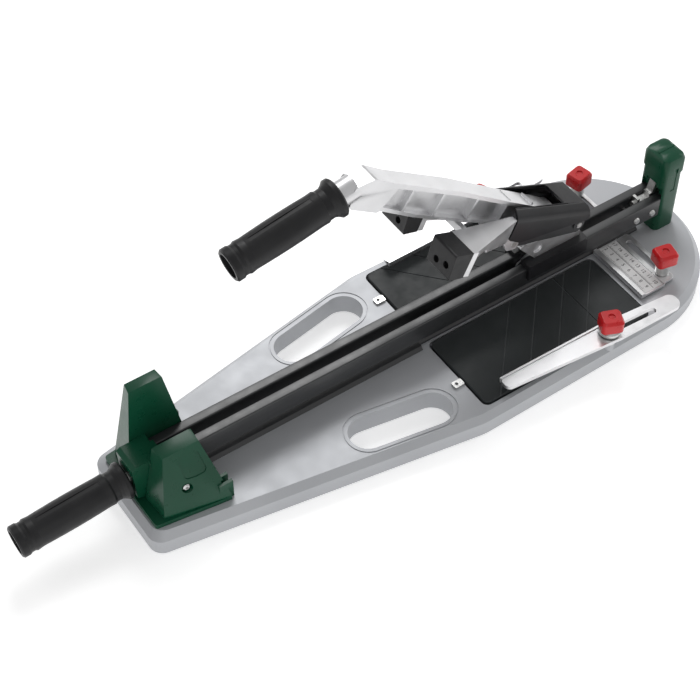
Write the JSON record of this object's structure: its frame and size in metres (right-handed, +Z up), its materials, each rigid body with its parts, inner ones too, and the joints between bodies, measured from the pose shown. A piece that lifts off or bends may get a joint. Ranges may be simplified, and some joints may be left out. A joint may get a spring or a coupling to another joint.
{
  "type": "tile cutter",
  "caption": "Manual tile cutter: cast base, twin guide rails, sliding head with scoring wheel, breaker and lever, sprung tables, swing arms and rulers.",
  "frame": {"origin": "centre of the whole cutter's bounding box, on the surface that it stands on", "axes": "+X along the rails from the front grip to the rear tower, +Y to the left table seen from the front grip, +Z up"},
  "size_m": [0.8581, 0.2626, 0.3302],
  "materials": {
    "cast_silver": "silver paint on a die casting, satin",
    "bright_cast": "bare die-cast aluminium, softly polished",
    "zinc_steel": "zinc plated steel",
    "black_steel": "black painted steel, satin",
    "green_paint": "dark green moulded plastic, satin gloss",
    "black_plastic": "black moulded plastic",
    "black_rubber": "black soft grip rubber",
    "mat_rubber": "dark grey moulded rubber",
    "red_plastic": "red moulded plastic",
    "white_scale": "pale printed scale",
    "carbide": "ground hard metal"
  },
  "bodies": {
    "base": {"base_casting": "cast_silver", "rubber_feet": "black_rubber", "feet_screws": "zinc_steel", "breaking_bar": "black_steel", "breaking_bar_screws": "zinc_steel", "table_springs_left": "zinc_steel", "table_springs_right": "zinc_steel", "table_clips": "zinc_steel", "front_bracket": "green_paint", "front_bracket_screws": "zinc_steel", "front_grip": "black_rubber", "front_grip_bolt": "zinc_steel", "rail_left": "black_steel", "rail_right": "black_steel", "rail_pins": "zinc_steel", "rear_tower": "green_paint", "rear_tower_screws": "zinc_steel", "rail_clamp": "zinc_steel", "clamp_screw": "zinc_steel", "ruler_stud_left": "zinc_steel", "ruler_stud_right": "zinc_steel"},
    "table_left": {"table_plate_left": "black_steel", "table_mat_left": "mat_rubber"},
    "table_right": {"table_plate_right": "black_steel", "table_mat_right": "mat_rubber"},
    "carriage": {"carriage_block": "bright_cast", "carriage_shoe": "black_plastic", "head_pin": "zinc_steel", "return_spring": "zinc_steel"},
    "head": {"head_frame": "black_steel", "head_cover": "black_plastic", "wheel_fork": "bright_cast", "fork_screws": "zinc_steel", "wheel_axle": "zinc_steel", "breaker_pin": "zinc_steel", "lever_pin": "zinc_steel"},
    "wheel": {"cutting_wheel": "carbide"},
    "breaker": {"breaker_casting": "bright_cast", "breaker_pads": "black_rubber", "pad_screws": "zinc_steel"},
    "lever": {"lever_arm": "bright_cast", "lever_grip": "black_rubber", "lever_grip_screw": "zinc_steel"},
    "arm_pivot_left": {"arm_stud_left": "zinc_steel"},
    "arm_pivot_right": {"arm_stud_right": "zinc_steel"},
    "support_arm_left": {"arm_left": "bright_cast"},
    "support_arm_right": {"arm_right": "bright_cast"},
    "arm_knob_left": {"arm_knob_left": "red_plastic"},
    "arm_knob_right": {"arm_knob_right": "red_plastic"},
    "ruler_left": {"ruler_left": "bright_cast", "ruler_scale_left": "white_scale"},
    "ruler_right": {"ruler_right": "bright_cast", "ruler_scale_right": "white_scale"},
    "ruler_knob_left": {"ruler_knob_left": "red_plastic"},
    "ruler_knob_right": {"ruler_knob_right": "red_plastic"}
  },
  "joints": [
    {"name": "carriage_slide", "type": "slide", "parent": "base", "child": "carriage", "axis": [-1, 0, 0], "range_m": [-0.0684, 0.3819]},
    {"name": "head_tilt", "type": "hinge", "parent": "carriage", "child": "head", "pos_m": [0.25813, 0, 0.114], "axis": [0, 1, 0], "range_deg": [-20, 0], "stiffness_Nm_per_rad": 12, "springref_deg": 22.92},
    {"name": "wheel_spin", "type": "hinge", "parent": "head", "child": "wheel", "pos_m": [0.19997, 0, 0.0644], "axis": [0, 1, 0], "continuous": true},
    {"name": "breaker_swing", "type": "hinge", "parent": "head", "child": "breaker", "pos_m": [0.1631, 0, 0.14171], "axis": [0, 1, 0], "range_deg": [-32, 0], "stiffness_Nm_per_rad": 1, "springref_deg": 28.65},
    {"name": "lever_lift", "type": "hinge", "parent": "head", "child": "lever", "pos_m": [0.22616, 0, 0.13462], "axis": [0, 1, 0], "range_deg": [0, 25]},
    {"name": "table_left_sink", "type": "slide", "parent": "base", "child": "table_left", "axis": [0, 0, 1], "range_m": [-0.00285, 0], "stiffness_N_per_m": 4000, "springref_m": 0.004, "deforming": ["table_springs_left"]},
    {"name": "table_right_sink", "type": "slide", "parent": "base", "child": "table_right", "axis": [0, 0, 1], "range_m": [-0.00285, 0], "stiffness_N_per_m": 4000, "springref_m": 0.004, "deforming": ["table_springs_right"]},
    {"name": "arm_left_swing", "type": "hinge", "parent": "base", "child": "arm_pivot_left", "pos_m": [0.23077, 0.11628, 0.0342], "axis": [0, 0, 1], "range_deg": [-100, 0]},
    {"name": "arm_left_slide", "type": "slide", "parent": "arm_pivot_left", "child": "support_arm_left", "axis": [-0.9986, -0.0523, 0], "range_m": [0, 0.05928]},
    {"name": "arm_left_knob_turn", "type": "hinge", "parent": "arm_pivot_left", "child": "arm_knob_left", "pos_m": [0.23077, 0.11628, 0.057], "axis": [0, 0, 1], "continuous": true},
    {"name": "ruler_left_slide", "type": "slide", "parent": "base", "child": "ruler_left", "axis": [0, 1, 0], "range_m": [0, 0.05472]},
    {"name": "ruler_left_knob_turn", "type": "hinge", "parent": "base", "child": "ruler_knob_left", "pos_m": [0.34306, 0.07524, 0.057], "axis": [0, 0, 1], "continuous": true},
    {"name": "arm_right_swing", "type": "hinge", "parent": "base", "child": "arm_pivot_right", "pos_m": [0.23077, -0.11628, 0.0342], "axis": [0, 0, 1], "range_deg": [0, 100]},
    {"name": "arm_right_slide", "type": "slide", "parent": "arm_pivot_right", "child": "support_arm_right", "axis": [-0.9986, 0.0523, 0], "range_m": [0, 0.05928]},
    {"name": "arm_right_knob_turn", "type": "hinge", "parent": "arm_pivot_right", "child": "arm_knob_right", "pos_m": [0.23077, -0.11628, 0.057], "axis": [0, 0, 1], "continuous": true},
    {"name": "ruler_right_slide", "type": "slide", "parent": "base", "child": "ruler_right", "axis": [0, -1, 0], "range_m": [0, 0.05472]},
    {"name": "ruler_right_knob_turn", "type": "hinge", "parent": "base", "child": "ruler_knob_right", "pos_m": [0.34306, -0.07524, 0.057], "axis": [0, 0, 1], "continuous": true}
  ]
}
